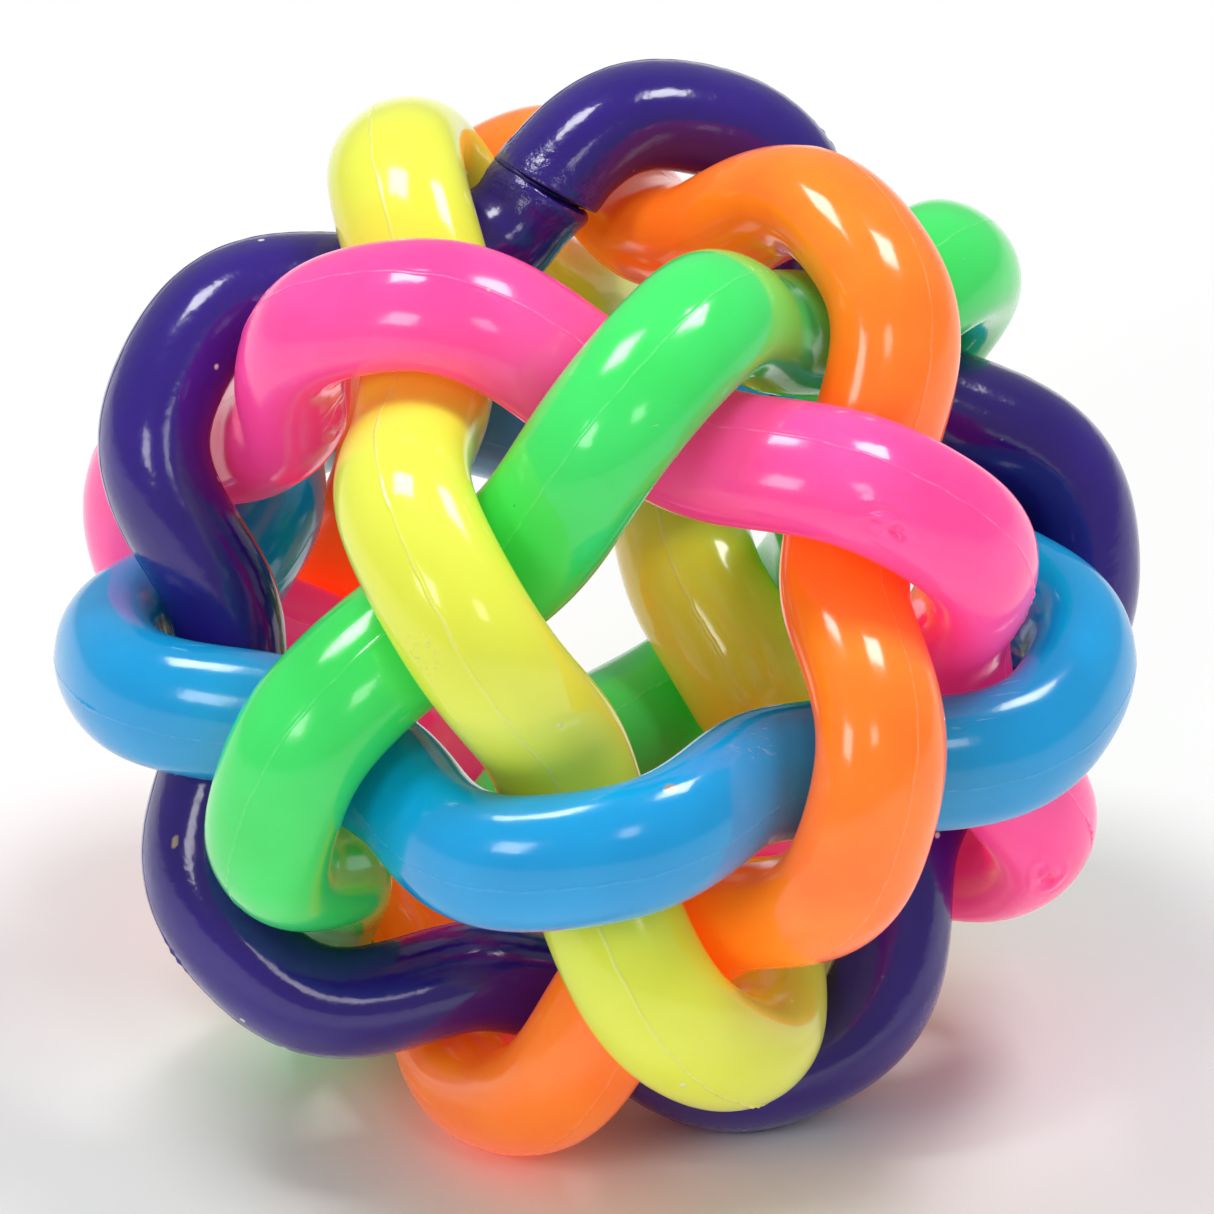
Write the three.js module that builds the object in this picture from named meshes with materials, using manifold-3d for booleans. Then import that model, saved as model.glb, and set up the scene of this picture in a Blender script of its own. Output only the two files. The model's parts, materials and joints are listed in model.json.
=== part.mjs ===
// A woven play ball of six soft wavy rings.
//
// The six rings follow the six great circles of an icosidodecahedron. Every ring crosses each of
// the others twice, over once and under once, so it has five crests and five dips. All six are the
// same open moulding, which is threaded through the others, bent shut and glued end to end over a
// short plug.
//
// Millimetres, +Z up, origin at the centre of the ball. The blue ring lies level and the other five
// lean evenly around it, so the ball stands on the five crests round its lowest window.

import * as THREE from "three";
import * as BufferGeometryUtils from "three/addons/utils/BufferGeometryUtils.js";
import Module from "manifold-3d";

const wasm = await Module();
wasm.setup();

// ---------------------------------------------------------------- driving sizes

const RING_RADIUS = 35.6; // from the ball's centre to the middle line of a strand
const STRAND_THICKNESS = 9.1; // through the strand, towards the ball's centre
const CROSSING_GAP = 0.56; // left between an over strand and the under strand below it
const TRIANGLE_GAP = 0.88; // radius of the small hole left where three strands meet
const SIDE_SWAY = 1.3; // how far a strand swings sideways between its crossings
const CREST_FLATTENING = 0.08; // how much blunter the crests and dips are than a plain wave

const BUTT_GAP = 0.3; // glue line between a strand's two ends
const BUTT_ANGLE = THREE.MathUtils.degToRad(19.5); // from a crest to the glued joint, about the ring's axis

const PLUG_DIAMETER = 4;
const PLUG_LENGTH = 14;
const PLUG_CHAMFER = 0.6;
const PLUG_CLEARANCE = 0.3; // glue all round the plug, and past each of its ends

// ---------------------------------------------------------------- fineness

const STRAND_STEPS = 85;
const SECTION_QUARTER_STEPS = 3;
const PLUG_SIDES = 12;

// ---------------------------------------------------------------- the weave

const CRESTS = 5;
const LOBE = (2 * Math.PI) / CRESTS; // from one crest to the next, about the ring's axis
const RING_TILT = Math.acos(1 / Math.sqrt(5)); // between the axes of any two rings

// Three rings meet round each triangle, and each passes this far from the triangle's own axis.
const TRIANGLE_ANGLE = Math.asin(Math.sqrt((5 - 2 * Math.sqrt(5)) / 15));

const STRAND_WIDTH = 2 * (RING_RADIUS * Math.sin(TRIANGLE_ANGLE) - TRIANGLE_GAP);
const WAVE_HEIGHT = (STRAND_THICKNESS + CROSSING_GAP) / 2 / (1 - CREST_FLATTENING);

// Azimuth of each leaning ring's axis, and the lobe that holds its joint.
const LEANING_RINGS = [
  { name: "purple", color: 0x52338f, azimuth: -90, jointLobe: 1 },
  { name: "yellow", color: 0xeef35e, azimuth: -18, jointLobe: 4 },
  { name: "pink", color: 0xfa5cac, azimuth: 54, jointLobe: 3 },
  { name: "green", color: 0x57e37a, azimuth: 126, jointLobe: 2 },
  { name: "orange", color: 0xfb8a3c, azimuth: 198, jointLobe: 3 },
];
const LEVEL_RING = { name: "blue", color: 0x259bd6, azimuth: -90, jointLobe: 0 };

// ---------------------------------------------------------------- geometry helpers

// The middle line of one ring, in the ring's own frame: +Z is its axis and +X points at a crest.
// The line starts at startAngle and sweeps through sweepAngle.
class WavyRingCurve extends THREE.Curve {
  constructor(startAngle, sweepAngle) {
    super();
    this.startAngle = startAngle;
    this.sweepAngle = sweepAngle;
    this.arcLengthDivisions = 2000;
  }

  getPoint(t, target = new THREE.Vector3()) {
    const angle = this.startAngle + t * this.sweepAngle;
    const wave = Math.cos(CRESTS * angle) - CREST_FLATTENING * Math.cos(3 * CRESTS * angle);
    const radius = RING_RADIUS + WAVE_HEIGHT * wave;
    const side = SIDE_SWAY * Math.sin(CRESTS * angle);
    return target.set(radius * Math.cos(angle), radius * Math.sin(angle), side);
  }

  // Keeps the section's thickness in the plane of the ring all the way round.
  computeFrenetFrames(segments) {
    const tangents = [];
    const normals = [];
    const binormals = [];
    const axis = new THREE.Vector3(0, 0, 1);
    for (let i = 0; i <= segments; i++) {
      const tangent = this.getTangentAt(i / segments);
      const normal = tangent.clone().cross(axis).normalize();
      tangents.push(tangent);
      normals.push(normal);
      binormals.push(tangent.clone().cross(normal));
    }
    return { tangents, normals, binormals };
  }
}

function toSolid(geometry) {
  const bare = geometry.clone();
  bare.deleteAttribute("normal");
  bare.deleteAttribute("uv");
  const merged = BufferGeometryUtils.mergeVertices(bare, 1e-4);
  const mesh = new wasm.Mesh({
    numProp: 3,
    vertProperties: new Float32Array(merged.attributes.position.array),
    triVerts: new Uint32Array(merged.index.array),
  });
  mesh.merge();
  return new wasm.Manifold(mesh);
}

function toGeometry(solid) {
  const mesh = solid.getMesh();
  const geometry = new THREE.BufferGeometry();
  geometry.setAttribute("position", new THREE.BufferAttribute(mesh.vertProperties, 3));
  geometry.setIndex(new THREE.BufferAttribute(mesh.triVerts, 1));
  geometry.computeVertexNormals();
  return geometry;
}

// ---------------------------------------------------------------- the glued joint

// Where the two ends of a strand meet, as a matrix whose +Y runs along the strand.
function buttFrame() {
  const curve = new WavyRingCurve(BUTT_ANGLE, LOBE);
  const position = curve.getPoint(0);
  const tangent = curve.getTangent(0);
  const turn = new THREE.Quaternion().setFromUnitVectors(new THREE.Vector3(0, 1, 0), tangent);
  return new THREE.Matrix4().compose(position, turn, new THREE.Vector3(1, 1, 1));
}

// Half the angle about the ring's axis that the glue line takes up.
function halfButtAngle() {
  const probe = 0.001;
  const before = new WavyRingCurve(BUTT_ANGLE - probe, LOBE).getPoint(0);
  const after = new WavyRingCurve(BUTT_ANGLE + probe, LOBE).getPoint(0);
  return (BUTT_GAP / before.distanceTo(after)) * probe;
}

// ---------------------------------------------------------------- the two pieces of a ring

function makeStrandGeometry() {
  const section = new THREE.Shape();
  section.absellipse(0, 0, STRAND_THICKNESS / 2, STRAND_WIDTH / 2, 0, 2 * Math.PI, false, 0);
  const half = halfButtAngle();
  const path = new WavyRingCurve(BUTT_ANGLE + half, 2 * Math.PI - 2 * half);
  const strand = new THREE.ExtrudeGeometry(section, {
    steps: STRAND_STEPS,
    curveSegments: 2 * SECTION_QUARTER_STEPS,
    extrudePath: path,
  });
  const socket = new THREE.CylinderGeometry(
    PLUG_DIAMETER / 2 + PLUG_CLEARANCE,
    PLUG_DIAMETER / 2 + PLUG_CLEARANCE,
    PLUG_LENGTH + 2 * PLUG_CLEARANCE,
    PLUG_SIDES,
  );
  socket.applyMatrix4(buttFrame());
  return toGeometry(toSolid(strand).subtract(toSolid(socket)));
}

function makePlugGeometry() {
  const radius = PLUG_DIAMETER / 2;
  const end = PLUG_LENGTH / 2;
  const profile = [
    new THREE.Vector2(0, -end),
    new THREE.Vector2(radius - PLUG_CHAMFER, -end),
    new THREE.Vector2(radius, -end + PLUG_CHAMFER),
    new THREE.Vector2(radius, end - PLUG_CHAMFER),
    new THREE.Vector2(radius - PLUG_CHAMFER, end),
    new THREE.Vector2(0, end),
  ];
  return new THREE.LatheGeometry(profile, PLUG_SIDES);
}

const strandGeometry = makeStrandGeometry();
const plugGeometry = makePlugGeometry();

// ---------------------------------------------------------------- rings

function makeRing({ name, color, azimuth, jointLobe }, tilt) {
  const strand = new THREE.Mesh(
    strandGeometry,
    new THREE.MeshStandardMaterial({ color, roughness: 0.25, metalness: 0 }),
  );
  strand.name = `${name}_strand`;

  const plug = new THREE.Mesh(
    plugGeometry,
    new THREE.MeshStandardMaterial({ color: 0xe8e6df, roughness: 0.45, metalness: 0 }),
  );
  plug.name = `${name}_joining_plug`;
  plug.applyMatrix4(buttFrame());

  // The moulding turns about the ring's axis to bring its joint to the chosen lobe.
  const moulding = new THREE.Group();
  moulding.add(strand, plug);
  moulding.rotation.z = jointLobe * LOBE;

  // The ring crosses over the level ring a quarter turn on from the side that its axis leans to.
  const ring = new THREE.Group();
  ring.add(moulding);
  ring.rotation.order = "ZYX";
  ring.rotation.set(tilt, 0, THREE.MathUtils.degToRad(azimuth + 90));
  return ring;
}

const ball = new THREE.Group();
for (const ring of LEANING_RINGS) {
  ball.add(makeRing(ring, RING_TILT));
}

// The level ring is over where the leaning rings are under, half a lobe away from their crests.
const levelRing = makeRing(LEVEL_RING, 0);
levelRing.rotation.z += LOBE / 2;
ball.add(levelRing);

export default ball;
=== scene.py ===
"""Looks of the woven puzzle ball: six wavy rings of glossy soft plastic, built round the CAD frame.

Every strand follows the same formula as its CAD solid, with a finer surface: a parting seam along
its outer and inner edges, a glued butt joint, gate marks and the slight unevenness of a moulding.
Lengths are in metres and angles in radians, except where a name or comment says degrees or
millimetres. An angle along a ring is counted about the ring's axis from a crest. An angle round
the section is 0 at the outermost edge, 90 degrees on the side of the ring's axis, and 180 innermost.
"""

import json
import math

import bpy
import numpy as np
from mathutils import Matrix, Vector


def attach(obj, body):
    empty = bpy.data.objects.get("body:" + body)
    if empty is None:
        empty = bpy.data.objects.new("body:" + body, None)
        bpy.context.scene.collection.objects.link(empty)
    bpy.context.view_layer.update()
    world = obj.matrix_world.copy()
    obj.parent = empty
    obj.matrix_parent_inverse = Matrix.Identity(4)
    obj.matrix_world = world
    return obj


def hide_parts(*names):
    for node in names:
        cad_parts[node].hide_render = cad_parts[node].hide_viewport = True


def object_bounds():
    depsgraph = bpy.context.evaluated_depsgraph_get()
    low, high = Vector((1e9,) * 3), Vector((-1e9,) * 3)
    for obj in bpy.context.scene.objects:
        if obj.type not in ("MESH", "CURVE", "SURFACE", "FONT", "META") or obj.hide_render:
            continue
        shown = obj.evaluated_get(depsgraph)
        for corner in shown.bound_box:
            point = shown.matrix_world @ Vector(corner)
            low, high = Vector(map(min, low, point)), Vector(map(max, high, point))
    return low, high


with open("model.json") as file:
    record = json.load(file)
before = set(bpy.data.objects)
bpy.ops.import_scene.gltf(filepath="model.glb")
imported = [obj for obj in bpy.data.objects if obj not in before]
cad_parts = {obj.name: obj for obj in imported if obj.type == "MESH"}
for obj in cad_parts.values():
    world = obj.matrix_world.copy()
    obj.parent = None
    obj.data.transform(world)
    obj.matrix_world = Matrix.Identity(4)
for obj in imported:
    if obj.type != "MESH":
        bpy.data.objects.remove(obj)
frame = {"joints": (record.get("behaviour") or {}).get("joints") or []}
cad_low, cad_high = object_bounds()

MM = 0.001

# ---------------------------------------------------------------- the weave, as in the CAD model

RING_RADIUS = 35.6 * MM
STRAND_THICKNESS = 9.1 * MM
STRAND_WIDTH = 11.6 * MM
CROSSING_GAP = 0.56 * MM
CREST_FLATTENING = 0.08
WAVE_HEIGHT = (STRAND_THICKNESS + CROSSING_GAP) / 2 / (1 - CREST_FLATTENING)
SIDE_SWAY = 1.3 * MM
CRESTS = 5
LOBE = 2 * math.pi / CRESTS

BUTT_ANGLE = math.radians(19.5)
BUTT_GAP = 0.3 * MM
PLUG_RADIUS = 2.0 * MM
PLUG_LENGTH = 14.0 * MM
PLUG_CHAMFER = 0.6 * MM
PLUG_CLEARANCE = 0.3 * MM

# The glued cut runs slightly askew: how far it leans along the strand towards its outer side and
# its +axis side, and how far from the joint the surface follows it.
CUT_LEAN_OUTER = math.radians(0.9)
CUT_LEAN_SIDE = math.radians(0.7)
CUT_LEAN_REACH = 9.0 * MM

# ---------------------------------------------------------------- fineness of the meshes

STEPS_ALONG = 680
STEPS_AROUND = 60
STEPS_BESIDE_JOINT = 40
FINE_LENGTH_BESIDE_JOINT = 6.0 * MM
FILLET_STEPS = 6
GATE_SPACING = 0.17 * MM
SEAM_STEPS = (-1.8, -1.2, -0.8, -0.4, 0.0, 0.4, 0.8, 1.2, 1.8)  # in half widths of the seam
SEAM_MARGIN = 2.6  # in half widths of the seam, left before the even steps begin

# ---------------------------------------------------------------- small relief on the strands

# How far detail may stand proud of the plain oval: at a crossing, and where the strand is free.
# The second pair says how far a crossing counts, along the ring and round the section.
LEAST_HEADROOM = 0.03 * MM
MOST_HEADROOM = 0.4 * MM
CROSSING_ALONG = math.radians(32)
CROSSING_AROUND = math.radians(110)

# Where marks are placed on a strand, it counts as a round one with this section radius, that runs
# at this distance from the ring's axis.
MEAN_SECTION_RADIUS = 5.2 * MM
SKIN_RADIUS = 1.1 * RING_RADIUS

# The parting seam, and the ragged flash left on it here and there.
SEAM_HALF_WIDTH = 0.2 * MM
SEAM_HALF_ANGLE = SEAM_HALF_WIDTH / (STRAND_WIDTH / 2)
SEAM_HEIGHT_OUTER = 0.085 * MM
SEAM_HEIGHT_INNER = 0.065 * MM
SEAM_WORN_ALONG = math.radians(15)  # how far it is worn down beside a crossing
FLASH_HEIGHT = 0.16 * MM
FLASH_HALF_LENGTH = math.radians(2.6)
FLASH_TOOTH = math.radians(0.9)

# A gate mark: its size, the ridges that swirl round it and its off-centre dimple.
GATE_RADIUS = 2.6 * MM
GATE_STRETCH = 1.2  # how much longer it is along the strand than across
GATE_RIPPLE = 1.2 * MM
GATE_RIDGE = 0.14 * MM
GATE_DIMPLE = 0.5 * MM
GATE_DIMPLE_RADIUS = 1.1 * MM
GATE_DIMPLE_ALONG = 0.7 * MM
GATE_DIMPLE_AROUND = -0.35 * MM

# The joint is left open round this middle, as far as this to each side, and glued flush elsewhere.
OPEN_MIDDLE = math.radians(135)
OPEN_REACH = math.radians(98)

# The joint's rounded edges, the wrinkles that the glue leaves, the sunk shoulder of the strand's
# starting end and the proud rim of its finishing end.
START_ROUND = 0.75 * MM
FINISH_ROUND = 0.28 * MM
LEAST_ROUNDING = 0.08  # share of the rounding kept where the joint is glued flush
WRINKLE_REACH = 4.5 * MM
WRINKLE_HEIGHT = 0.035 * MM
SHOULDER_PLACE = 3.2 * MM
SHOULDER_REACH = 2.6 * MM
SHOULDER_DEPTH = 0.22 * MM
RIM_REACH = 2.2 * MM
RIM_HEIGHT = 0.2 * MM
SOCKET_LIP = 0.15 * MM
PLUG_SIDES = 48

# The washer of glue: how far it laps onto each end, how deep its edge lies where the joint is flush
# and how much deeper where it is open, its roughness and its crown.
GLUE_SIDES = 96
GLUE_LAP = 0.06 * MM
GLUE_SINK = 0.02 * MM
GLUE_SINK_OPEN = 1.3 * MM
GLUE_ROUGHNESS = 0.03 * MM
GLUE_CROWN = 0.03 * MM

# Slow unevenness of a soft moulding.
WAVE_DEPTH = 0.035 * MM
DRIFT_DEPTH = 0.02 * MM


# ---------------------------------------------------------------- where each ring lies


def ring_frame(name):
    """The ring's own axes as columns: through a crest, a quarter turn on, and its axis."""
    joint = next((j for j in frame["joints"] if j["child"] == f"{name}_ring"), None)
    if joint is None:
        crest = np.array([math.cos(LOBE / 2), math.sin(LOBE / 2), 0.0])
        axis = np.array([0.0, 0.0, 1.0])
    else:
        axis = np.array(joint["axis"], float)
        axis /= np.linalg.norm(axis)
        crest = np.cross([0.0, 0.0, 1.0], axis)
        crest /= np.linalg.norm(crest)
    return np.stack([crest, np.cross(axis, crest), axis], axis=1)


def middle_line(angle):
    """Points of the strand's middle line in the ring's own axes."""
    wave = np.cos(CRESTS * angle) - CREST_FLATTENING * np.cos(3 * CRESTS * angle)
    radius = RING_RADIUS + WAVE_HEIGHT * wave
    side = SIDE_SWAY * np.sin(CRESTS * angle)
    return np.stack([radius * np.cos(angle), radius * np.sin(angle), side], axis=-1)


def directions(angle):
    """Unit vectors along the strand, outwards, and across it, at each angle."""
    step = 1e-5
    along = middle_line(angle + step) - middle_line(angle - step)
    along /= np.linalg.norm(along, axis=-1, keepdims=True)
    outward = np.cross(along, [0.0, 0.0, 1.0])
    outward /= np.linalg.norm(outward, axis=-1, keepdims=True)
    across = np.cross(outward, along)
    return along, outward, across


# ---------------------------------------------------------------- small shapes on the surface


def bump(distance, width):
    """A smooth hill that is 1 at distance 0 and 0 from width outwards."""
    t = np.clip(np.abs(distance) / width, 0, 1)
    return (1 - t * t) ** 2


def flat_topped(hill):
    """The hill raised, and cut off at 1."""
    return np.clip(1.6 * hill, 0, 1)


def wrapped(difference):
    """An angle difference brought into -pi to pi."""
    return (difference + math.pi) % (2 * math.pi) - math.pi


def ripple(angle, seed, waves):
    """A repeatable uneven line round the ring, from about -1 to 1."""
    rng = np.random.default_rng(seed)
    total = np.zeros_like(angle)
    for count in waves:
        total = total + rng.uniform(0.5, 1.0) * np.sin(count * angle + rng.uniform(0, 2 * math.pi))
    return total / len(waves) * 1.6


def rubbed(angle, crest):
    """1 where a neighbour passes the strand: inside it on a crest, outside it in a dip."""
    start = 0.0 if crest else LOBE / 2
    from_neighbour = (angle - start + LOBE / 2) % LOBE - LOBE / 2
    return bump(from_neighbour, SEAM_WORN_ALONG)


# Gate marks and flash patches of each strand: angle along the ring and round the section, in degrees.
MARKS = {
    "purple": {"gates": [(130, 200)], "flash": [(60, 0), (100, 0), (212, 0)]},
    "yellow": {"gates": [(20, 200)], "flash": [(222.5, 0), (216, 0), (130, 0)]},
    "pink": {
        "gates": [(137.8, 310.5), (206.3, 303.8), (50.5, 195.8)],
        "flash": [(158, 0), (163, 0), (206, 0)],
    },
    "green": {"gates": [(165, 200)], "flash": [(20, 0), (300, 0), (75, 180)]},
    "orange": {"gates": [(200, 160)], "flash": [(40, 0), (330, 180), (200, 0)]},
    "blue": {"gates": [(60, 200)], "flash": [(322, 0), (150, 0), (318, 0)]},
}
# How proud each ring's parting line stands, beside the yellow one.
SEAM_PROUD = {"purple": 0.8, "yellow": 1.0, "pink": 0.7, "green": 0.45, "orange": 0.7, "blue": 0.6}
# Scratched patches: angles along the ring and round the section in degrees, radius in millimetres.
SCRATCHED = {
    "purple": [(300, 30, 2.5)],
    "yellow": [(150, 330, 2.0)],
    "pink": [(20, 30, 2.5)],
    "green": [(66, 317, 1.2), (250, 20, 2.0)],
    "orange": [(110, 340, 2.2)],
    "blue": [(278, 101, 3.0), (272, 63, 2.2), (239, 70, 3.2), (40, 20, 2.5)],
}
# Beige crumbs pressed into the skin, given in the same way.
CRUMBS = {"purple": [(202.8, 52, 0.32)], "blue": [(227.5, 70.5, 0.4)]}
RINGS = ["purple", "yellow", "pink", "green", "orange", "blue"]
JOINT_LOBE = {"purple": 1, "yellow": 4, "pink": 3, "green": 2, "orange": 3, "blue": 0}


def headroom(angle, around):
    """How far detail may stand up, so that strands never meet anywhere in the rings' play."""
    from_crest = (angle + LOBE / 2) % LOBE - LOBE / 2
    from_dip = angle % LOBE - LOBE / 2
    inner = bump(from_crest, CROSSING_ALONG) * bump(wrapped(around - math.pi), CROSSING_AROUND)
    outer = bump(from_dip, CROSSING_ALONG) * bump(wrapped(around), CROSSING_AROUND)
    close = flat_topped(np.maximum(inner, outer))
    return LEAST_HEADROOM + (MOST_HEADROOM - LEAST_HEADROOM) * (1 - close)


def open_side(around):
    """1 where the glued joint is left open and 0 where it is flush."""
    return flat_topped(bump(wrapped(around - OPEN_MIDDLE), OPEN_REACH))


def cut_lean(around):
    """How far the cut is moved along the strand, as an angle about the ring's axis."""
    return CUT_LEAN_OUTER * np.cos(around) + CUT_LEAN_SIDE * np.sin(around)


def from_mark(angle, around, along_deg, around_deg):
    """Distances along the strand and round its section from a mark."""
    x = wrapped(angle - math.radians(along_deg)) * SKIN_RADIUS
    y = wrapped(around - math.radians(around_deg)) * MEAN_SECTION_RADIUS
    return x, y


def spots(angle, around, places, spread):
    """1 at the middle of each listed spot, falling to 0 at spread times its radius."""
    total = np.zeros_like(angle)
    for along_deg, around_deg, radius in places:
        distance = np.hypot(*from_mark(angle, around, along_deg, around_deg))
        total = np.maximum(total, bump(distance, spread * radius * MM))
    return total


def surface_detail(name, angle, around, from_start, from_end):
    """Height of the small detail above the plain oval, and the masks that the materials read.

    angle and around are grids over the strand; from_start and from_end are distances to its two ends.
    """
    seed = RINGS.index(name) + 11
    wander = 0.018 * ripple(angle, seed + 90, (17, 41, 67, 101))
    outer_seam = bump(wrapped(around - wander), SEAM_HALF_ANGLE)
    inner_seam = bump(wrapped(around - math.pi - wander), SEAM_HALF_ANGLE)
    uneven = 0.75 + 0.25 * ripple(angle, seed, (83, 131, 197, 263))
    outer_height = SEAM_PROUD[name] * SEAM_HEIGHT_OUTER * uneven * (1 - 0.8 * rubbed(angle, False))
    inner_height = SEAM_PROUD[name] * SEAM_HEIGHT_INNER * uneven * (1 - 0.8 * rubbed(angle, True))
    height = outer_seam * outer_height + inner_seam * inner_height

    for along_deg, around_deg in MARKS[name]["flash"]:
        patch = bump(wrapped(angle - math.radians(along_deg)), FLASH_HALF_LENGTH)
        ragged = 0.55 + 0.45 * np.sign(np.sin(2 * math.pi * angle / FLASH_TOOTH) + 0.2)
        seam = bump(wrapped(around - math.radians(around_deg)), 1.4 * SEAM_HALF_ANGLE)
        height = height + FLASH_HEIGHT * patch * seam * ragged

    gate = np.zeros_like(height)
    for gate_along, gate_around in MARKS[name]["gates"]:
        x, y = from_mark(angle, around, gate_along, gate_around)
        reach = np.hypot(x / GATE_STRETCH, y)
        turn = np.arctan2(y, x)
        swirl = np.cos(2 * math.pi * reach / GATE_RIPPLE - 1.5 * turn + 0.8 * np.sin(3 * turn))
        dimple = bump(np.hypot(x - GATE_DIMPLE_ALONG, y - GATE_DIMPLE_AROUND), GATE_DIMPLE_RADIUS)
        height = height + GATE_RIDGE * swirl * bump(reach, GATE_RADIUS) - GATE_DIMPLE * dimple
        gate = np.maximum(gate, bump(reach, GATE_RADIUS))

    # Glue has wrinkled the surface beside the joint.
    near = bump(np.minimum(from_start, from_end), WRINKLE_REACH)
    lengthwise = np.sin(angle * 520 + 3 * np.sin(around * 4))
    crosswise = np.sin(around * 17 + 2 * np.sin(angle * 260))
    height = height + WRINKLE_HEIGHT * near * (lengthwise * crosswise)
    # The starting end has a soft shoulder and the finishing end a slightly proud rim.
    height = height - SHOULDER_DEPTH * bump(from_start - SHOULDER_PLACE, SHOULDER_REACH)
    height = height + RIM_HEIGHT * bump(from_end, RIM_REACH)

    height = np.minimum(height, headroom(angle, around))

    # Slow unevenness only ever cuts into the plain oval.
    wave = np.sin(7 * angle + 2 * around + seed) * np.sin(3 * around - seed)
    drift = np.clip(ripple(angle, seed + 50, (11, 19, 29)), -1, 1) * np.cos(around + seed)
    height = height + WAVE_DEPTH * (wave - 1)
    height = height + DRIFT_DEPTH * (drift - 1)

    seam = np.clip(outer_seam + inner_seam, 0, 1)
    scratched = spots(angle, around, SCRATCHED[name], 1)
    crumb = spots(angle, around, CRUMBS.get(name, []), 2)
    return height, seam, near, gate, scratched, crumb


# ---------------------------------------------------------------- meshes


def mesh_object(name, points, faces):
    mesh = bpy.data.meshes.new(name)
    mesh.from_pydata([tuple(p) for p in points], [], faces)
    mesh.validate()
    mesh.update()
    mesh.polygons.foreach_set("use_smooth", [True] * len(mesh.polygons))
    piece = bpy.data.objects.new(name, mesh)
    bpy.context.scene.collection.objects.link(piece)
    return piece


def with_fine_band(values, centre, half_width, spacing):
    """Replaces the values near the centre by evenly spaced closer ones."""
    low, high = centre - half_width, centre + half_width
    band = np.linspace(low, high, int(round(2 * half_width / spacing)) + 1)
    kept = values[(values < low - 0.5 * spacing) | (values > high + 0.5 * spacing)]
    return np.sort(np.concatenate([kept, band]))


def around_angles(name):
    """Angles round the section, closer together at the two seams and the gate marks."""
    seam_outer = [step * SEAM_HALF_ANGLE for step in SEAM_STEPS]
    seam_inner = [math.pi + step * SEAM_HALF_ANGLE for step in SEAM_STEPS]
    margin = SEAM_MARGIN * SEAM_HALF_ANGLE
    half = STEPS_AROUND // 2
    upper = np.linspace(margin, math.pi - margin, half)
    lower = np.linspace(math.pi + margin, 2 * math.pi - margin, half)
    angles = np.array(seam_outer + list(upper) + seam_inner + list(lower))
    for _, gate_around in MARKS[name]["gates"]:
        centre = math.radians(gate_around)
        to_seam = min(abs(wrapped(centre)), abs(wrapped(centre - math.pi))) - margin
        half_width = min(GATE_RADIUS / MEAN_SECTION_RADIUS, to_seam)
        if half_width > 0:
            angles = with_fine_band(angles, centre, half_width, GATE_SPACING / MEAN_SECTION_RADIUS)
    return angles


def ring_of_faces(first, second, count, flip=False):
    """Quads between two rings of points that start at those numbers."""
    quads = []
    for k in range(count):
        n = (k + 1) % count
        quad = (first + k, first + n, second + n, second + k)
        quads.append(quad[::-1] if flip else quad)
    return quads


def speed_at_joint():
    """Length along the strand per radian about the ring's axis, at the joint."""
    probe = 1e-4
    before, after = middle_line(np.array([BUTT_ANGLE - probe, BUTT_ANGLE + probe]))
    return float(np.linalg.norm(after - before)) / (2 * probe)


def fillet_rows(end, inward, radius, speed):
    """Angle and inset of each row over an end's rounded edge, from the face inwards."""
    rows = []
    for turn in np.linspace(0, math.pi / 2, FILLET_STEPS + 1):
        angle = end + inward * radius * (1 - math.cos(turn)) / speed
        rows.append((angle, radius * (1 - math.sin(turn))))
    return rows


# What is stored at each point of a strand for its material, and its values inside a glued socket.
MASKS = ("seam", "glued", "gate", "scratched", "crumb")
ALL_GLUED = [0.0, 1.0, 0.0, 0.0, 0.0]


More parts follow.
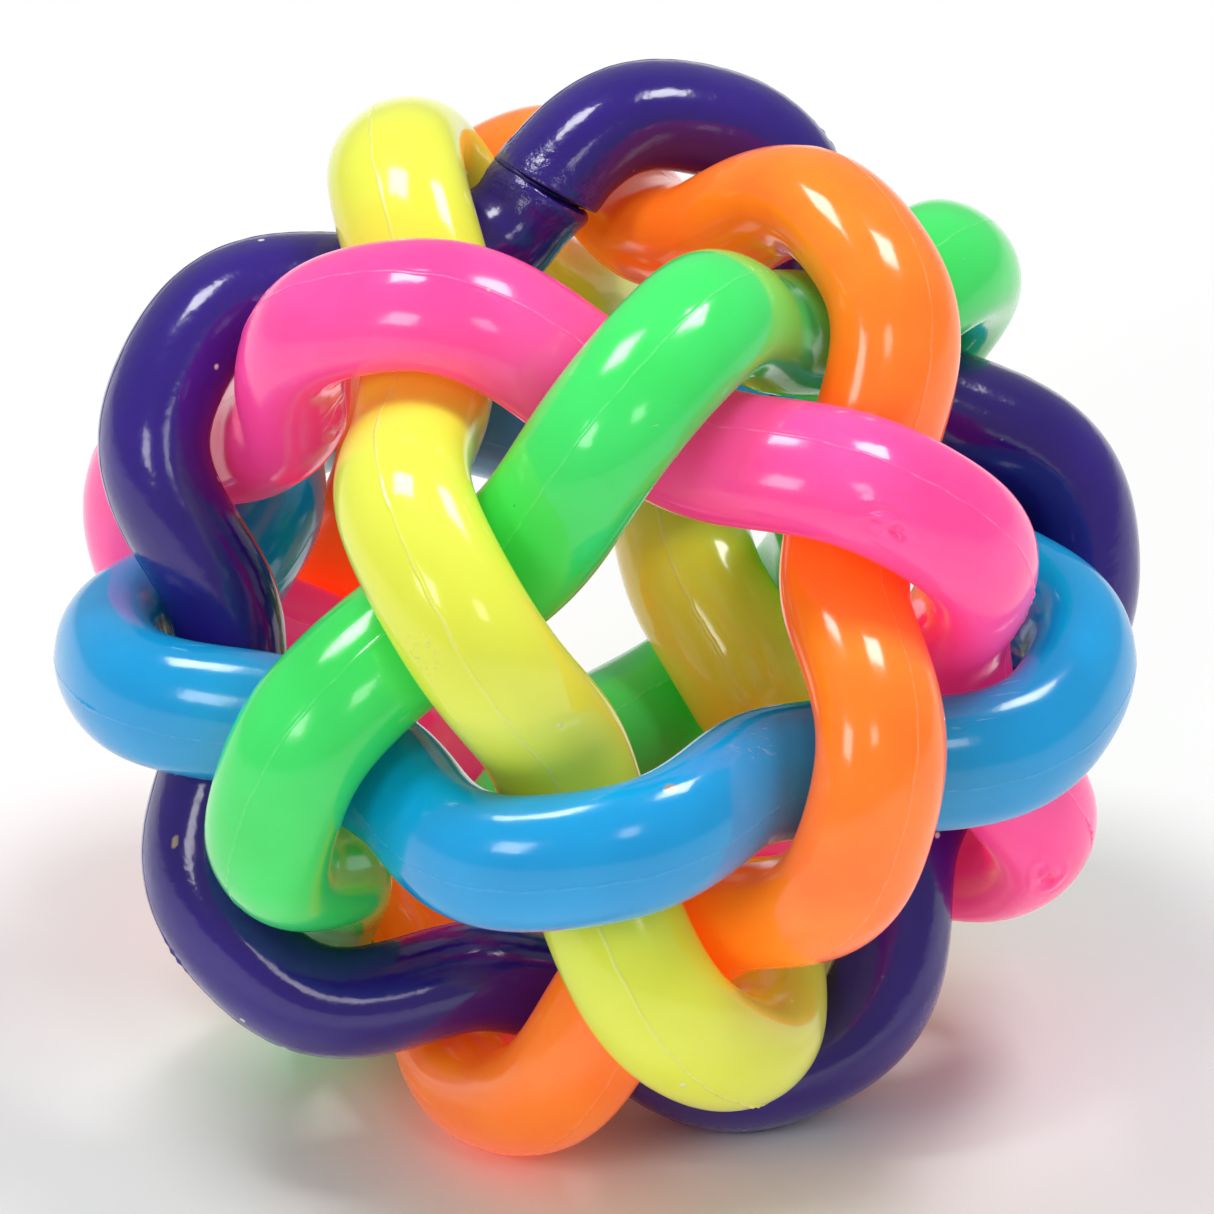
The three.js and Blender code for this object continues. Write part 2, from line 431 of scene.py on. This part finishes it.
def strand_mesh(name):
    """One closed strand: its long wavy skin, two rounded ends and the blind socket in each end."""
    speed = speed_at_joint()
    half_gap = BUTT_GAP / 2 / speed
    start = BUTT_ANGLE + half_gap
    finish = BUTT_ANGLE + 2 * math.pi - half_gap

    # Rows: a rounded edge at each end, close steps beside it, even steps between, and the closest
    # over the gate marks.
    start_rows = fillet_rows(start, 1, START_ROUND, speed)
    finish_rows = fillet_rows(finish, -1, FINISH_ROUND, speed)[::-1]
    fine = FINE_LENGTH_BESIDE_JOINT / speed
    first, last = start_rows[-1][0], finish_rows[0][0]
    middle = np.concatenate([
        np.linspace(first, first + fine, STEPS_BESIDE_JOINT, endpoint=False)[1:],
        np.linspace(first + fine, last - fine, STEPS_ALONG, endpoint=False),
        np.linspace(last - fine, last, STEPS_BESIDE_JOINT + 1)[:-1],
    ])
    for gate_along, _ in MARKS[name]["gates"]:
        centre = first + (math.radians(gate_along) - JOINT_LOBE[name] * LOBE - first) % (2 * math.pi)
        half_width = GATE_STRETCH * GATE_RADIUS / SKIN_RADIUS
        if first + half_width < centre < last - half_width:
            middle = with_fine_band(middle, centre, half_width, GATE_SPACING / SKIN_RADIUS)
    rows = start_rows + [(a, 0.0) for a in middle] + finish_rows
    moulding_angle = np.array([r[0] for r in rows])
    inset = np.array([r[1] for r in rows])
    angle = moulding_angle + JOINT_LOBE[name] * LOBE

    around = around_angles(name)
    grid_angle, grid_around = np.meshgrid(angle, around, indexing="ij")
    from_start = (moulding_angle - start) * speed
    from_end = (finish - moulding_angle) * speed
    near_cut = bump(np.minimum(from_start, from_end), CUT_LEAN_REACH)
    grid_angle = grid_angle + near_cut[:, None] * cut_lean(grid_around)
    height, seam, near, gate, scratched, crumb = surface_detail(
        name,
        grid_angle,
        grid_around,
        np.repeat(from_start[:, None], len(around), axis=1),
        np.repeat(from_end[:, None], len(around), axis=1),
    )

    rounding = inset[:, None] * (LEAST_ROUNDING + (1 - LEAST_ROUNDING) * open_side(grid_around))
    _, skin_outward, skin_across = directions(grid_angle)
    thick = STRAND_THICKNESS / 2 - rounding + height
    wide = STRAND_WIDTH / 2 - rounding + height
    points = (
        middle_line(grid_angle)
        + skin_outward * (thick * np.cos(grid_around))[:, :, None]
        + skin_across * (wide * np.sin(grid_around))[:, :, None]
    )
    along, outward, across = directions(angle)
    middle_points = middle_line(angle)
    count = len(around)
    vertices = [points.reshape(-1, 3)]
    masks = [np.stack([seam, near, gate, scratched, crumb], axis=-1).reshape(-1, len(MASKS))]
    faces = []
    total_rows = len(rows)
    for r in range(total_rows - 1):
        faces += ring_of_faces(r * count, (r + 1) * count, count, flip=True)

    used = total_rows * count
    socket_radius = PLUG_RADIUS + PLUG_CLEARANCE
    socket_depth = PLUG_LENGTH / 2 + PLUG_CLEARANCE - BUTT_GAP / 2
    for row, sign in ((0, 1), (total_rows - 1, -1)):
        centre = middle_points[row]
        inward = along[row] * sign
        edge = points[row]
        unit = outward[row] * np.cos(around)[:, None] + across[row] * np.sin(around)[:, None]
        socket = centre + unit * socket_radius
        lip = centre + unit * (socket_radius + SOCKET_LIP)
        previous = row * count
        loops = [
            edge + (lip - edge) * 0.25,
            edge + (lip - edge) * 0.6,
            lip,
            socket + inward * SOCKET_LIP,
            socket + inward * socket_depth * 0.5,
            socket + inward * socket_depth,
        ]
        for loop in loops:
            vertices.append(loop)
            masks.append(np.tile(ALL_GLUED, (count, 1)))
            faces += ring_of_faces(previous, used, count, flip=sign < 0)
            previous = used
            used += count
        vertices.append((centre + inward * socket_depth)[None, :])
        masks.append(np.array([ALL_GLUED]))
        for k in range(count):
            tri = (previous + k, previous + (k + 1) % count, used)
            faces.append(tri[::-1] if sign < 0 else tri)
        used += 1

    local = np.concatenate(vertices)
    world = local @ ring_frame(name).T
    piece = mesh_object(f"{name}_wavy_strand", world, faces)
    mask = np.concatenate(masks)
    for index, title in enumerate(MASKS):
        attribute = piece.data.attributes.new(title, "FLOAT", "POINT")
        attribute.data.foreach_set("value", mask[:, index].astype(np.float32))
    return piece


def plug_mesh(name):
    """The round pin inside a joint, with chamfered ends and a fine moulding line."""
    end = PLUG_LENGTH / 2
    profile = [
        (-end, PLUG_RADIUS - PLUG_CHAMFER),
        (-end + 0.1 * MM, PLUG_RADIUS - PLUG_CHAMFER + 0.12 * MM),
        (-end + PLUG_CHAMFER, PLUG_RADIUS - 0.02 * MM),
        (-end + 1.3 * PLUG_CHAMFER, PLUG_RADIUS),
        (-0.3 * end, PLUG_RADIUS),
        (0.3 * end, PLUG_RADIUS),
        (end - 1.3 * PLUG_CHAMFER, PLUG_RADIUS),
        (end - PLUG_CHAMFER, PLUG_RADIUS - 0.02 * MM),
        (end - 0.1 * MM, PLUG_RADIUS - PLUG_CHAMFER + 0.12 * MM),
        (end, PLUG_RADIUS - PLUG_CHAMFER),
    ]
    angle = np.array([BUTT_ANGLE + JOINT_LOBE[name] * LOBE])
    centre = middle_line(angle)[0]
    along, outward, across = (v[0] for v in directions(angle))
    turn = np.linspace(0, 2 * math.pi, PLUG_SIDES, endpoint=False)
    line = 1 + 0.02 * bump(wrapped(turn), 0.2) + 0.02 * bump(wrapped(turn - math.pi), 0.2)
    points, faces = [], []
    for offset, radius in profile:
        ring = (
            centre
            + along * offset
            + outward * (radius * line * np.cos(turn))[:, None]
            + across * (radius * line * np.sin(turn))[:, None]
        )
        points.append(ring)
    for r in range(len(profile) - 1):
        faces += ring_of_faces(r * PLUG_SIDES, (r + 1) * PLUG_SIDES, PLUG_SIDES, flip=True)
    used = len(profile) * PLUG_SIDES
    points.append((centre - along * end)[None, :])
    points.append((centre + along * end)[None, :])
    last = (len(profile) - 1) * PLUG_SIDES
    for k in range(PLUG_SIDES):
        n = (k + 1) % PLUG_SIDES
        faces.append((k, n, used))
        faces.append((last + n, last + k, used + 1))
    world = np.concatenate(points) @ ring_frame(name).T
    return mesh_object(f"{name}_glued_plug", world, faces)


def glue_mesh(name):
    """The washer of dried glue between a strand's ends: flush, and sunk where the joint is open."""
    around = np.linspace(0, 2 * math.pi, GLUE_SIDES, endpoint=False)
    reach = (BUTT_GAP / 2 + GLUE_LAP) / speed_at_joint()
    sink = GLUE_SINK + GLUE_SINK_OPEN * open_side(around)
    sink = sink + GLUE_ROUGHNESS * np.sin(9 * around) * np.sin(23 * around + 1)
    loops = []
    for side, grow in ((-1, False), (0, True), (1, False), (1, None), (-1, None)):
        angle = BUTT_ANGLE + JOINT_LOBE[name] * LOBE + cut_lean(around) + side * reach
        _, outward, across = directions(angle)
        if grow is None:
            thick = wide = np.full_like(around, PLUG_RADIUS + 0.05 * MM)
        else:
            crown = GLUE_CROWN if grow else 0.0
            thick = STRAND_THICKNESS / 2 - sink + crown
            wide = STRAND_WIDTH / 2 - sink + crown
        loops.append(
            middle_line(angle)
            + outward * (thick * np.cos(around))[:, None]
            + across * (wide * np.sin(around))[:, None]
        )
    faces = []
    count = len(around)
    for k in range(len(loops)):
        faces += ring_of_faces(k * count, (k + 1) % len(loops) * count, count, flip=True)
    return mesh_object(f"{name}_joint_glue", np.concatenate(loops) @ ring_frame(name).T, faces)


# ---------------------------------------------------------------- materials


class Nodes:
    """Short names for building a node tree."""

    def __init__(self, material):
        material.use_nodes = True
        self.tree = material.node_tree
        self.tree.nodes.clear()

    def add(self, kind, inputs=None, **settings):
        node = self.tree.nodes.new(kind)
        for key, value in settings.items():
            setattr(node, key, value)
        for key, value in (inputs or {}).items():
            if isinstance(value, bpy.types.NodeSocket):
                self.tree.links.new(value, node.inputs[key])
            else:
                node.inputs[key].default_value = value
        return node

    def math(self, operation, a, b=0.0, clamp=False):
        node = self.add("ShaderNodeMath", {0: a, 1: b}, operation=operation, use_clamp=clamp)
        return node.outputs[0]

    def noise(self, place, scale, detail=2.0, roughness=0.5):
        node = self.add(
            "ShaderNodeTexNoise",
            {"Vector": place, "Scale": scale, "Detail": detail, "Roughness": roughness},
        )
        return node.outputs["Fac"]

    def ramp(self, value, low, high, to_low=0.0, to_high=1.0):
        node = self.add(
            "ShaderNodeMapRange",
            {"Value": value, "From Min": low, "From Max": high, "To Min": to_low, "To Max": to_high},
        )
        return node.outputs["Result"]

    def blend(self, factor, a, b):
        node = self.add("ShaderNodeMix", data_type="RGBA")
        for socket, value in ((node.inputs[0], factor), (node.inputs[6], a), (node.inputs[7], b)):
            if isinstance(value, bpy.types.NodeSocket):
                self.tree.links.new(value, socket)
            else:
                socket.default_value = value
        return node.outputs[2]

    def attribute(self, name):
        return self.add("ShaderNodeAttribute", attribute_name=name).outputs["Fac"]


def rgb(r, g, b):
    return (r, g, b, 1.0)


# Each ring's colour, its deeper mottling, its parting line and how strongly that shows, its
# painted glow and how bright that is, the height of its grain in millimetres, and the share of
# dust-free cells. The painted glow stands in for the pigment's fluorescence and for coloured light
# bounced into the shaded parts of the weave; it shines whatever the lamps do.
PIGMENTS = {
    "purple": {
        "main": rgb(0.030, 0.007, 0.240), "deep": rgb(0.020, 0.004, 0.190),
        "seam": rgb(0.15, 0.10, 0.36), "seam_strength": 0.25,
        "painted_glow": rgb(0.1, 0, 0.3), "painted_glow_strength": 0.0,
        "grain": 0.060, "clean": 0.82,
    },
    "yellow": {
        "main": rgb(0.870, 0.950, 0.095), "deep": rgb(0.830, 0.900, 0.060),
        "seam": rgb(0.78, 0.78, 0.44), "seam_strength": 0.55,
        "painted_glow": rgb(0.9, 0.7, 0), "painted_glow_strength": 0.04,
        "grain": 0.015, "clean": 0.95,
    },
    "pink": {
        "main": rgb(0.970, 0.100, 0.440), "deep": rgb(0.950, 0.066, 0.350),
        "seam": rgb(0.99, 0.36, 0.60), "seam_strength": 0.32,
        "painted_glow": rgb(1, 0.02, 0.10), "painted_glow_strength": 0.30,
        "grain": 0.02, "clean": 0.95,
    },
    "green": {
        "main": rgb(0.060, 0.870, 0.175), "deep": rgb(0.046, 0.800, 0.135),
        "seam": rgb(0.34, 0.88, 0.42), "seam_strength": 0.20,
        "painted_glow": rgb(0, 0.8, 0.02), "painted_glow_strength": 0.03,
        "grain": 0.02, "clean": 0.95,
    },
    "orange": {
        "main": rgb(0.980, 0.285, 0.020), "deep": rgb(0.970, 0.205, 0.014),
        "seam": rgb(0.98, 0.48, 0.24), "seam_strength": 0.30,
        "painted_glow": rgb(1, 0.05, 0), "painted_glow_strength": 0.30,
        "grain": 0.02, "clean": 0.95,
    },
    "blue": {
        "main": rgb(0.004, 0.400, 0.830), "deep": rgb(0.002, 0.350, 0.760),
        "seam": rgb(0.10, 0.48, 0.80), "seam_strength": 0.32,
        "painted_glow": rgb(0, 0.3, 0.8), "painted_glow_strength": 0.01,
        "grain": 0.02, "clean": 0.95,
    },
}

DUST_COLOUR = rgb(0.85, 0.84, 0.8)
CHIP_COLOUR = rgb(0.03, 0.028, 0.025)
SCRATCH_COLOUR = rgb(0.85, 0.85, 0.85)
CRUMB_COLOUR = rgb(0.42, 0.31, 0.20)
LIGHT_DEPTH = 2.5 * MM  # how far light gets into the soft plastic
RELIEF_UNIT = 1.0 * MM  # what a height of 1 in the materials' fine relief stands for


def soft_plastic(name):
    """Glossy soft plastic that lets in a little light, with a pale parting line, dust, scuffs and a
    painted glow.
    """
    paint = PIGMENTS[name]
    material = bpy.data.materials.new(f"{name}_soft_plastic")
    n = Nodes(material)
    place = n.add("ShaderNodeTexCoord").outputs["Object"]
    seam = n.attribute("seam")
    glued = n.attribute("glued")
    gate = n.attribute("gate")
    scratched = n.attribute("scratched")

    mottle = n.ramp(n.noise(place, 95.0, 3.0), 0.35, 0.7)
    colour = n.blend(mottle, paint["main"], paint["deep"])
    streaks = n.ramp(n.noise(place, 420.0, 4.0, 0.65), 0.5, 0.8, 0.0, 0.35)
    colour = n.blend(streaks, colour, paint["deep"])

    broken = n.ramp(n.noise(place, 900.0, 2.0), 0.35, 0.6, 0.25, 0.95)
    seam_line = n.math("MULTIPLY", n.ramp(seam, 0.35, 0.95), broken)
    colour = n.blend(n.math("MULTIPLY", seam_line, paint["seam_strength"]), colour, paint["seam"])

    cells = n.add("ShaderNodeTexVoronoi", {"Vector": place, "Scale": 330.0}, feature="F1")
    cell_value = n.add("ShaderNodeSeparateColor", {0: cells.outputs["Color"]}).outputs[0]
    chosen = n.math("GREATER_THAN", cell_value, paint["clean"])
    dust = n.math("MULTIPLY", chosen, n.ramp(cells.outputs["Distance"], 0.11, 0.06))
    colour = n.blend(n.math("MULTIPLY", dust, 0.85), colour, DUST_COLOUR)
    chips = n.add("ShaderNodeTexVoronoi", {"Vector": place, "Scale": 160.0}, feature="F1")
    chip_value = n.add("ShaderNodeSeparateColor", {0: chips.outputs["Color"]}).outputs[1]
    chip_chosen = n.math("GREATER_THAN", chip_value, 0.975)
    chip = n.math("MULTIPLY", chip_chosen, n.ramp(chips.outputs["Distance"], 0.03, 0.015))
    colour = n.blend(n.math("MULTIPLY", chip, 0.7), colour, CHIP_COLOUR)

    turned = n.add(
        "ShaderNodeMapping",
        {"Vector": place, "Rotation": (0.5, 0.9, 0.3), "Scale": (1.0, 9.0, 9.0)},
    )
    lines = n.noise(turned.outputs["Vector"], 260.0, 2.0)
    scratch = n.math("MULTIPLY", n.ramp(scratched, 0.05, 0.5), n.ramp(lines, 0.60, 0.66))
    colour = n.blend(n.math("MULTIPLY", scratch, 0.14), colour, SCRATCH_COLOUR)

    colour = n.blend(n.ramp(n.attribute("crumb"), 0.25, 0.6), colour, CRUMB_COLOUR)

    smudge = n.ramp(n.noise(place, 150.0, 3.0, 0.6), 0.4, 0.75, 0.0, 0.10)
    scuff_zone = n.ramp(n.noise(place, 60.0, 2.0), 0.68, 0.78)
    scuff = n.math("MULTIPLY", scuff_zone, n.ramp(n.noise(place, 2600.0, 2.0), 0.5, 0.62))
    roughness = n.math("ADD", 0.13, smudge)
    roughness = n.math("ADD", roughness, n.math("MULTIPLY", scuff, 0.10))
    roughness = n.math("ADD", roughness, n.math("MULTIPLY", seam_line, 0.2))
    roughness = n.math("ADD", roughness, n.math("MULTIPLY", scratch, 0.3))
    roughness = n.math("ADD", roughness, n.math("MULTIPLY", dust, 0.4), clamp=True)

    fine = n.noise(place, 700.0, 2.0)
    relief = n.math("MULTIPLY", fine, paint["grain"])
    relief = n.math("ADD", relief, n.math("MULTIPLY", scuff, 0.006))
    relief = n.math("ADD", relief, n.math("MULTIPLY", dust, 0.06))
    relief = n.math("ADD", relief, n.math("MULTIPLY", scratch, -0.05))
    wrinkles = n.math("MULTIPLY", n.math("ADD", glued, gate), n.noise(place, 1500.0, 3.0, 0.6))
    relief = n.math("ADD", relief, n.math("MULTIPLY", wrinkles, 0.12))
    bump_node = n.add(
        "ShaderNodeBump", {"Height": relief, "Strength": 1.0, "Distance": RELIEF_UNIT}
    )

    shader = n.add(
        "ShaderNodeBsdfPrincipled",
        {
            "Base Color": colour,
            "Roughness": roughness,
            "Normal": bump_node.outputs["Normal"],
            "IOR": 1.53,
            "Subsurface Weight": 0.22,
            "Subsurface Scale": LIGHT_DEPTH,
            "Subsurface Radius": (1.0, 0.7, 0.6),
            # Painted glow: stands in for fluorescence and for coloured light bounced into shaded
            # parts.
            "Emission Color": paint["painted_glow"],
            "Emission Strength": paint["painted_glow_strength"],
            "Coat Weight": 0.2,
            "Coat Roughness": 0.05,
            "Coat IOR": 1.5,
        },
    )
    n.add("ShaderNodeOutputMaterial", {"Surface": shader.outputs["BSDF"]})
    return material


def dried_glue(name):
    """Dried glue, stained dark by the plastic on both sides of it."""
    deep = PIGMENTS[name]["deep"]
    material = bpy.data.materials.new(f"{name}_dried_glue")
    n = Nodes(material)
    place = n.add("ShaderNodeTexCoord").outputs["Object"]
    grain = n.noise(place, 1400.0, 3.0)
    dark = rgb(deep[0] * 0.6, deep[1] * 0.6, deep[2] * 0.6)
    colour = n.blend(n.ramp(grain, 0.35, 0.65), dark, deep)
    relief = n.math("MULTIPLY", grain, 0.08)
    bump_node = n.add("ShaderNodeBump", {"Height": relief, "Distance": RELIEF_UNIT})
    shader = n.add(
        "ShaderNodeBsdfPrincipled",
        {
            "Base Color": colour,
            "Roughness": n.ramp(grain, 0.0, 1.0, 0.2, 0.45),
            "Normal": bump_node.outputs[0],
        },
    )
    n.add("ShaderNodeOutputMaterial", {"Surface": shader.outputs["BSDF"]})
    return material


def plug_plastic():
    """Plain off-white moulded plastic with a little dried glue."""
    material = bpy.data.materials.new("plug_plastic")
    n = Nodes(material)
    place = n.add("ShaderNodeTexCoord").outputs["Object"]
    grain = n.noise(place, 1200.0, 3.0)
    glue = n.ramp(n.noise(place, 260.0, 3.0), 0.5, 0.62)
    colour = n.blend(n.ramp(grain, 0.3, 0.7), rgb(0.80, 0.78, 0.72), rgb(0.74, 0.71, 0.64))
    colour = n.blend(n.math("MULTIPLY", glue, 0.6), colour, rgb(0.70, 0.60, 0.38))
    roughness = n.ramp(glue, 0.0, 1.0, 0.5, 0.2)
    relief = n.math("ADD", n.math("MULTIPLY", grain, 0.02), n.math("MULTIPLY", glue, 0.05))
    bump_node = n.add(
        "ShaderNodeBump", {"Height": relief, "Strength": 1.0, "Distance": RELIEF_UNIT}
    )
    shader = n.add(
        "ShaderNodeBsdfPrincipled",
        {"Base Color": colour, "Roughness": roughness, "Normal": bump_node.outputs["Normal"]},
    )
    n.add("ShaderNodeOutputMaterial", {"Surface": shader.outputs["BSDF"]})
    return material


def floor_paper():
    """Plain pale paper."""
    material = bpy.data.materials.new("pale_floor")
    n = Nodes(material)
    place = n.add("ShaderNodeTexCoord").outputs["Object"]
    colour = n.blend(n.noise(place, 6.0, 2.0), rgb(0.94, 0.94, 0.94), rgb(0.96, 0.96, 0.96))
    shader = n.add("ShaderNodeBsdfPrincipled", {"Base Color": colour, "Roughness": 0.7})
    n.add("ShaderNodeOutputMaterial", {"Surface": shader.outputs["BSDF"]})
    return material


# ---------------------------------------------------------------- the object


def build_ball():
    plug_material = plug_plastic()
    for name in RINGS:
        body = f"{name}_ring"
        strand = strand_mesh(name)
        strand.data.materials.append(soft_plastic(name))
        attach(strand, body)
        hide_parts(f"{name}_strand")
        plug = plug_mesh(name)
        plug.data.materials.append(plug_material)
        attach(plug, body)
        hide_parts(f"{name}_joining_plug")
        glue = glue_mesh(name)
        glue.data.materials.append(dried_glue(name))
        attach(glue, body)


# ---------------------------------------------------------------- camera, floor and light

CAMERA_AZIMUTH = math.radians(-13.7)
CAMERA_ELEVATION = math.radians(29.9)
CAMERA_ROLL = math.radians(0.5)
CAMERA_DISTANCE = 2.0
VIEW_WIDTH = 98.4 * MM  # how much the picture takes in at the ball's centre
AIM_RIGHT = 0.45 * MM
AIM_UP = 0.16 * MM

FLOOR_HALF_SIZE = 6.0
WORLD_STRENGTH = 0.37
LAMP_DISTANCE = 0.8
# Each lamp's direction from the ball, as the camera sees it (right, up, towards the camera), then
# its size and its power.
LAMPS = {
    "overhead_left": (-0.36, 0.87, 0.36, 0.24, 2.5),
    "overhead_right": (0.40, 0.84, 0.36, 0.24, 2.5),
    "front_left": (-0.54, 0.06, 0.84, 0.22, 1.0),
    "front_right": (0.24, 0.14, 0.96, 0.16, 0.35),
}


def camera_axes():
    """Right, up and towards the camera, as the picture sees them."""
    a, e = CAMERA_AZIMUTH, CAMERA_ELEVATION
    back = Vector((math.sin(a) * math.cos(e), -math.cos(a) * math.cos(e), math.sin(e)))
    level = Vector((math.cos(a), math.sin(a), 0.0))
    upright = back.cross(level)
    right = level * math.cos(CAMERA_ROLL) - upright * math.sin(CAMERA_ROLL)
    up = upright * math.cos(CAMERA_ROLL) + level * math.sin(CAMERA_ROLL)
    return right, up, back


def axes_matrix(right, up, back, place):
    matrix = Matrix((right, up, back)).transposed().to_4x4()
    matrix.translation = place
    return matrix


def add_camera():
    data = bpy.data.cameras.new("camera")
    camera = bpy.data.objects.new("camera", data)
    bpy.context.scene.collection.objects.link(camera)
    right, up, back = camera_axes()
    aim = right * AIM_RIGHT + up * AIM_UP
    camera.matrix_world = axes_matrix(right, up, back, aim + back * CAMERA_DISTANCE)
    data.sensor_width = 36.0
    data.lens = data.sensor_width * CAMERA_DISTANCE / VIEW_WIDTH
    data.clip_start = 0.1
    data.clip_end = 50.0
    bpy.context.scene.camera = camera


def add_soft_box(name, right_share, up_share, back_share, width, power):
    """A square soft box in the given direction from the ball, facing its centre."""
    right, up, back = camera_axes()
    direction = (right * right_share + up * up_share + back * back_share).normalized()
    data = bpy.data.lights.new(name, "AREA")
    data.shape = "RECTANGLE"
    data.size = width
    data.size_y = width
    data.energy = power
    lamp = bpy.data.objects.new(name, data)
    bpy.context.scene.collection.objects.link(lamp)
    lamp.location = direction * LAMP_DISTANCE
    lamp.rotation_mode = "QUATERNION"
    lamp.rotation_quaternion = direction.to_track_quat("Z", "Y")


def add_studio():
    mesh = bpy.data.meshes.new("floor")
    size = FLOOR_HALF_SIZE
    z = cad_low.z
    corners = [(-size, -size, z), (size, -size, z), (size, size, z), (-size, size, z)]
    mesh.from_pydata(corners, [], [(0, 1, 2, 3)])
    floor = bpy.data.objects.new("floor", mesh)
    bpy.context.scene.collection.objects.link(floor)
    mesh.materials.append(floor_paper())

    world = bpy.data.worlds.new("studio")
    bpy.context.scene.world = world
    world.use_nodes = True
    background = world.node_tree.nodes["Background"]
    background.inputs["Color"].default_value = rgb(1.0, 1.0, 1.0)
    background.inputs["Strength"].default_value = WORLD_STRENGTH

    for name, numbers in LAMPS.items():
        add_soft_box(name, *numbers)


add_camera()
add_studio()
build_ball()
bpy.context.scene.view_settings.view_transform = "Standard"

bpy.context.view_layer.update()
